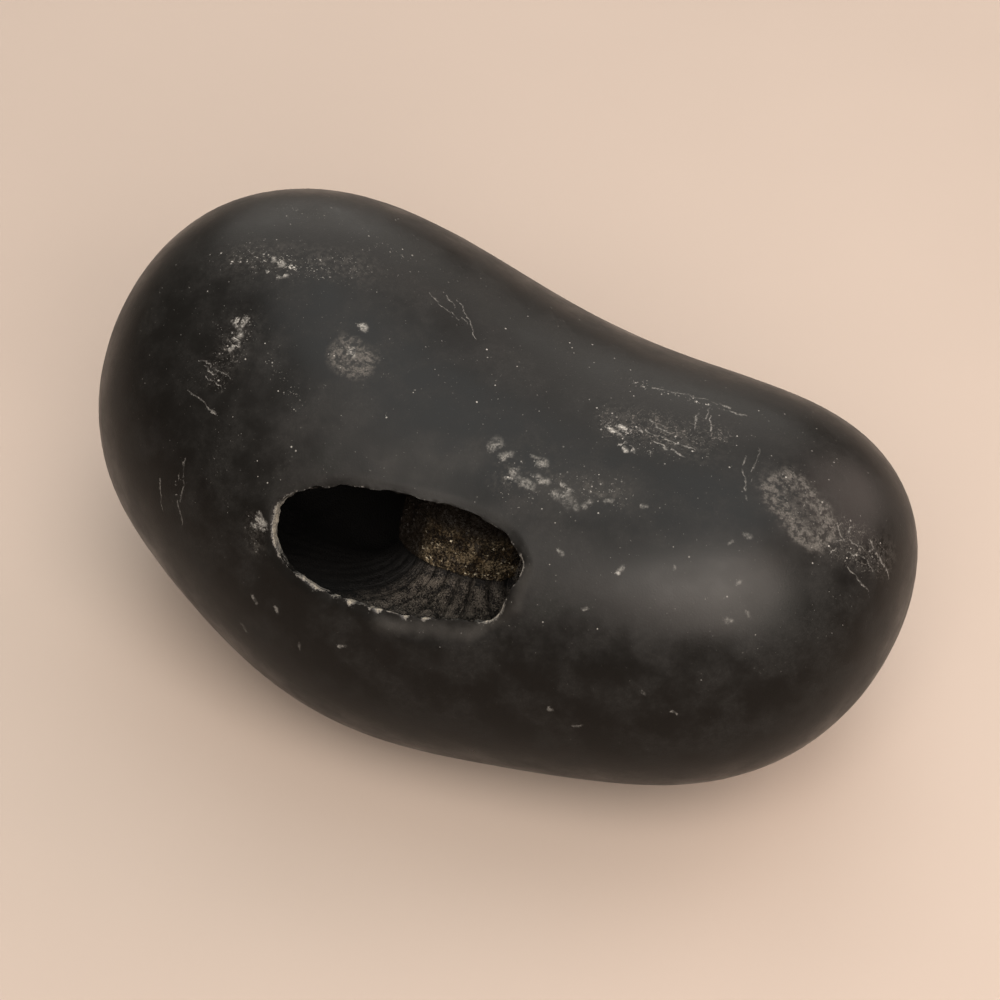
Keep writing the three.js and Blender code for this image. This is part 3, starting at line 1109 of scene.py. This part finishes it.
def skin_finish(tree, place, settings, broad, middling, fine):
    """The black skin's colour and roughness: a lighter tone where it faces up, then specks, clusters, webs
    of fine lines, blooms and the placed marks."""
    facing = parts_of(add_node("ShaderNodeNewGeometry", (), "Normal", tree))[2]
    # Lighter towards the side that faces up, varied by broad noise.
    topside = ramp(facing + centred(broad, 0.9), -0.1, 0.9)
    skin = tinted(topside, settings.skin_colour, settings.skin_topside)
    mottle = ramp(fine, 0.35, 0.75, 0.5, 1.0) * ramp(broad, 0.42, 0.62)
    mottle = mottle * ramp(middling, 0.35, 0.65, 0.4, 1.0)
    skin = tinted(mottle, skin, settings.skin_mottle)

    specks = attribute(tree, "specks")
    haze = attribute(tree, "haze")
    zone = greatest(specks, haze)
    dust = dust_mask(place, topside, zone)
    cluster = ramp(middling - (0.8 - specks * 0.3), 0.0, 0.08) * ramp(specks, 0.0, 0.25)
    marks = mark_mask(tree, broad, middling, fine)
    dusty = topside * 0.4 + zone
    powder = ramp(fine - (0.8 - dusty * 0.14), 0.0, 0.08) * 0.4
    white = greatest(dust, cluster, marks, powder)

    thread = ramp(abs(broad - 0.5), 0.011, 0.002)
    thread = greatest(thread, ramp(abs(middling - 0.5), 0.03, 0.0, 0.0, 0.7))
    web = thread * ramp(fine, 0.4, 0.6) * ramp(attribute(tree, "web"), 0.0, 0.5)
    bloom = attribute(tree, "bloom")
    ring = ramp(bloom, 0.02, 0.3) * ramp(bloom, 0.95, 0.5, 0.3, 1.0)
    ring = ring * ramp(middling, 0.4, 0.62, 0.1, 1.0) * ramp(fine, 0.3, 0.7, 0.45, 1.0)
    cloudy = ramp(haze, 0.0, 0.6) * ramp(middling, 0.4, 0.7) * 0.35
    rubbed = attribute(tree, "rubbed") * ramp(broad, 0.3, 0.6, 0.08, 0.24)
    grey = greatest(web, ring, cloudy, rubbed)

    skin = tinted(grey * 0.4, skin, settings.bloom_colour)
    skin = tinted(white * 0.7, skin, settings.dust_colour)
    rough = centred(middling, 0.05) + centred(broad, 0.22) + greatest(white, grey) * 0.25 + 0.38
    return skin, rough


def stone_material(settings):
    """The skin, the granular rock of the hollow, and the pale break between
    them at the rim, each shown by its mask."""
    material, tree, shader, place = new_material("Black shaligram", specular=0.108)
    broad = cloud(place, 0.22, 4.0, 0.6)
    middling = cloud(place, 1.9, 3.0, 0.7)
    fine = cloud(place, 6.5, 1.0)
    skin, rough = skin_finish(tree, place, settings, broad, middling, fine)

    light, glint = use_grain(place, 6.5)
    # Painted shade: the shade attribute dims the hollow's grains and glints to its dark colour deep in the
    # coil and in the crease under the crystals.
    shade = attribute(tree, "shade")
    # Painted shade in the grooves: the crest ramp dims the grains between the ribs.
    light = light * ramp(attribute(tree, "crest"), 0.0, 0.7, 0.3, 1.0) * shade
    rock = tinted(light, settings.hollow_dark_and_shade, settings.hollow_light)
    # Painted glints: a few grains get a bright colour that stands in for sparkle.
    rock = tinted(glint * shade * 0.9, rock, settings.glint)

    uneven = attribute(tree, "pale") + centred(middling, 0.5) + centred(fine, 0.4)
    pale = tinted(ramp(uneven, 0.5, 1.0), settings.break_grey, settings.break_cream)

    inside = attribute(tree, "inside")
    broken = ramp(uneven, 0.3, 0.52) * (1.0 - inside)
    fill(shader["Base Color"], tinted(broken, tinted(inside, skin, rock), pale))
    fill(shader["Roughness"], rough + inside * 0.4 + broken * 0.3)
    height = fine * ramp(inside, 0.0, 1.0, 0.3, 5.0)
    fill(shader["Normal"], add_node("ShaderNodeBump", {"Distance": BUMP_HEIGHT, "Height": height}))
    return material


def druse_material(settings):
    """Golden-brown crystals, dark at their roots and under painted shade at the crust's top and deep end,
    with a few pale ones and painted glints."""
    material, tree, shader, place = new_material("Brown druse", specular=0.05)
    tint = attribute(tree, "tint")
    light, glint = use_grain(place, 5.0)
    patch = ramp(cloud(place, 0.7), 0.35, 0.65)
    gold = tinted(patch, settings.brown, settings.gold)
    colour = tinted(light * ramp(tint, 0.0, 0.9, 0.2, 1.0), settings.root, gold)
    colour = tinted(ramp(tint, 0.95, 1.0), colour, settings.pale)
    # Painted glints: a few grains turn to the pale colour as sparkle.
    colour = tinted(glint * 0.3, colour, settings.pale)
    # Painted shade: the crystals turn to the root colour at the crust's top and deep in the coil.
    colour = tinted(ramp(attribute(tree, "shade"), 0.0, 1.0), settings.root, colour)
    fill(shader["Base Color"], colour)
    fill(shader["Roughness"], ramp(tint, 0.0, 1.0, 0.5, 0.7))
    return material


def floor_material(colour):
    material, _, shader, place = new_material("Pale floor", specular=0.2)
    soft = ramp(cloud(place, 0.02, 3.0), 0.3, 0.7, 0.97, 1.0)
    fill(shader["Base Color"], tinted(soft, (0, 0, 0), colour))
    fill(shader["Roughness"], 0.75)
    return material


# ---- What a user sets ----


def length_setting(name, description, millimetres):
    return bpy.props.FloatProperty(
        name=name, description=description, default=millimetres * MM, min=0, precision=5, unit="LENGTH")


def colour_setting(name, description, colour):
    return bpy.props.FloatVectorProperty(
        name=name, description=description, default=colour, size=3, min=0, max=1, subtype="COLOR")


def angle_setting(name, description, degrees):
    return bpy.props.FloatProperty(
        name=name, description=description, default=radians(degrees), subtype="ANGLE")


class StoneSettings(bpy.types.PropertyGroup):
    raggedness: length_setting("Rim raggedness", "How far the broken rim strays from its outline", 0.28)
    chip_depth: length_setting("Chip depth", "Depth of a chip one millimetre wide", 0.7)
    rib_depth: length_setting("Rib depth", "Depth of the grooves between the ribs", RIB_DEPTH)
    grain_height: length_setting("Grain height", "Height of the grains on the hollow's walls", 0.05)
    skin_colour: colour_setting("Skin", "The worn black skin", (0.0026, 0.0023, 0.002))
    skin_mottle: colour_setting("Mottle", "Fine grey mottling of the skin", (0.008, 0.0078, 0.0074))
    # The skin's lighter tone where it faces up.
    skin_topside: colour_setting("Skin film", "Dusty skin that faces up", (0.0038, 0.0037, 0.0035))
    dust_colour: colour_setting("Dust", "Specks, scratches and dust", (0.25, 0.245, 0.23))
    bloom_colour: colour_setting("Bloom", "Blooms, webs and clouds", (0.11, 0.103, 0.094))
    # Dark grains, and also the colour of the painted shade in the grooves, in the crease and deep in the
    # coil.
    hollow_dark_and_shade: colour_setting("Hollow, dark", "Grooves and dark grains", (0.0005, 0.0005, 0.0005))
    hollow_light: colour_setting("Hollow, light", "Light grains on the ribs", (0.044, 0.039, 0.033))
    # Colour of the painted glints on the hollow's grains.
    glint: colour_setting("Glint", "The few grains that glint", (0.2, 0.19, 0.175))
    break_grey: colour_setting("Break, grey", "Grey part of the fresh rim", (0.055, 0.053, 0.049))
    break_cream: colour_setting("Break, cream", "Cream part of the fresh rim", (0.15, 0.137, 0.113))


class DruseSettings(bpy.types.PropertyGroup):
    crystal_count: bpy.props.IntProperty(
        name="Crystals", description="How many crystals are scattered", default=8000, min=1)
    seed: bpy.props.IntProperty(name="Seed", description="Which scatter is made", default=7)
    smallest: length_setting("Smallest", "Size of the smallest crystals", 0.09)
    largest: length_setting("Largest", "Size of the largest crystals", 0.26)
    # The root colour also serves as the painted shade at the crust's top and deep end.
    root: colour_setting("Root", "Roots and shaded crystals", (0.003, 0.0022, 0.0015))
    brown: colour_setting("Brown", "Browner patches", (0.03, 0.021, 0.011))
    gold: colour_setting("Gold", "Golden patches", (0.085, 0.068, 0.043))
    # Pale crystals, and the colour of the painted glints on the druse.
    pale: colour_setting("Pale", "Pale crystals", (0.22, 0.2, 0.15))


class StageSettings(bpy.types.PropertyGroup):
    floor_colour: colour_setting("Floor", "The plain floor", (0.225, 0.19, 0.165))
    camera_turn: angle_setting("Turn", "How far the camera stands round from the front", 28)
    camera_rise: angle_setting("Rise", "How far up the camera looks down from", 45)
    camera_distance: length_setting("Distance", "From the camera to what it looks at", 295)


# ---- Operators ----


def finish_piece(piece, node, material):
    piece.data.materials.append(material)
    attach(piece, "root")
    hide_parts(node)


class SHALIGRAM_OT_add_stone(bpy.types.Operator):
    """Add the pebble with its mouth and the whorl's hollow"""

    bl_idname = "shaligram.add_stone"
    bl_label = "Add Stone"

    def execute(self, context):
        settings = context.scene.shaligram_stone
        finish_piece(build_stone(settings), "stone", stone_material(settings))
        return {"FINISHED"}


class SHALIGRAM_OT_add_druse(bpy.types.Operator):
    """Add the crystals that grow on the ridge in the hollow"""

    bl_idname = "shaligram.add_druse"
    bl_label = "Add Druse"

    def execute(self, context):
        settings = context.scene.shaligram_druse
        finish_piece(build_druse(settings), "crystal_crust", druse_material(settings))
        return {"FINISHED"}


# Lamps: name, degrees round from the front and up, width in metres, radiance
# and colour. All stand at the same distance.
LAMPS = (
    ("Key", 36, 48, 0.5, 14.5, (1.0, 0.86, 0.76)),
    ("Upper key", 20, 60, 0.4, 4, (0.95, 1.0, 0.95)),
    ("Side key", 55, 30, 0.4, 5, (1.0, 0.93, 0.83)),
    ("Overhead", 180, 80, 0.5, 4, (0.95, 1.0, 1.0)),
    ("Back right", 140, 30, 0.5, 6, (1.0, 0.8, 0.7)),
    ("Back left", -150, 33, 0.6, 2.5, (1.0, 0.95, 0.88)),
)
LAMP_DISTANCE = 0.6
LOOK_AT = (5.7, -9.2, 32.5)
LENS = 125
FLOOR_REACH = 3
WORLD_COLOUR = (1, 0.85, 0.7, 1)
WORLD_STRENGTH = 0.2


def direction(turn, rise):
    """The way from the middle of the stage to something that stands a turn
    round from the front and a rise up, both in radians."""
    return Vector((np.sin(turn) * np.cos(rise), -np.cos(turn) * np.cos(rise), np.sin(rise)))


def add_lamp(context, middle, name, turn, rise, width, radiance, colour):
    """A round lamp that faces the middle. Its power is its radiance times pi
    times its area."""
    lamp = bpy.data.lights.new(name, "AREA")
    lamp.shape = "DISK"
    lamp.size = width
    lamp.energy = radiance * np.pi * np.pi * (width / 2) ** 2
    lamp.color = colour
    light = bpy.data.objects.new(name, lamp)
    towards = direction(radians(turn), radians(rise))
    light.location = middle + towards * LAMP_DISTANCE
    light.rotation_euler = towards.to_track_quat("Z", "Y").to_euler()
    context.scene.collection.objects.link(light)


def build_stage(context, settings):
    corners = [(x * FLOOR_REACH, y * FLOOR_REACH, 0) for x, y in ((-1, -1), (1, -1), (1, 1), (-1, 1))]
    floor = new_piece("floor", corners, [(0, 1, 2, 3)], floor_material(settings.floor_colour))
    world = bpy.data.worlds.new("Studio")
    world.use_nodes = True
    background = world.node_tree.nodes["Background"].inputs
    background["Color"].default_value = WORLD_COLOUR
    background["Strength"].default_value = WORLD_STRENGTH
    context.scene.world = world
    low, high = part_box("stone")
    for lamp in LAMPS:
        add_lamp(context, (low + high) / 2, *lamp)
    view = bpy.data.cameras.new("Camera")
    view.lens = LENS
    view.clip_start = 0.01
    camera = bpy.data.objects.new("Camera", view)
    towards = direction(settings.camera_turn, settings.camera_rise)
    camera.location = Vector(LOOK_AT) * MM + towards * settings.camera_distance
    camera.rotation_euler = towards.to_track_quat("Z", "Y").to_euler()
    context.scene.collection.objects.link(camera)
    context.scene.camera = camera
    context.scene.view_settings.view_transform = "Standard"


class SHALIGRAM_OT_add_stage(bpy.types.Operator):
    """Add the floor, the lights and the camera"""

    bl_idname = "shaligram.add_stage"
    bl_label = "Add Stage"

    def execute(self, context):
        build_stage(context, context.scene.shaligram_stage)
        return {"FINISHED"}


class SHALIGRAM_PT_panel(bpy.types.Panel):
    """The stone's settings and its operators"""

    bl_label = "Shaligram Stone"
    bl_space_type = "VIEW_3D"
    bl_region_type = "UI"
    bl_category = "Shaligram"

    def draw(self, context):
        for name, kind in SETTINGS.items():
            box = self.layout.box()
            for key in kind.__annotations__:
                box.prop(getattr(context.scene, "shaligram_" + name), key)
            box.operator("shaligram.add_" + name)


SETTINGS = {"stone": StoneSettings, "druse": DruseSettings, "stage": StageSettings}
CLASSES = (
    *SETTINGS.values(),
    SHALIGRAM_OT_add_stone,
    SHALIGRAM_OT_add_druse,
    SHALIGRAM_OT_add_stage,
    SHALIGRAM_PT_panel,
)


def register():
    for item in CLASSES:
        bpy.utils.register_class(item)
    for name, kind in SETTINGS.items():
        setattr(bpy.types.Scene, "shaligram_" + name, bpy.props.PointerProperty(type=kind))


def unregister():
    for name in SETTINGS:
        delattr(bpy.types.Scene, "shaligram_" + name)
    for item in reversed(CLASSES):
        bpy.utils.unregister_class(item)


def main():
    register()
    bpy.ops.shaligram.add_stone()
    bpy.ops.shaligram.add_druse()
    bpy.ops.shaligram.add_stage()


if __name__ == "__main__":
    main()
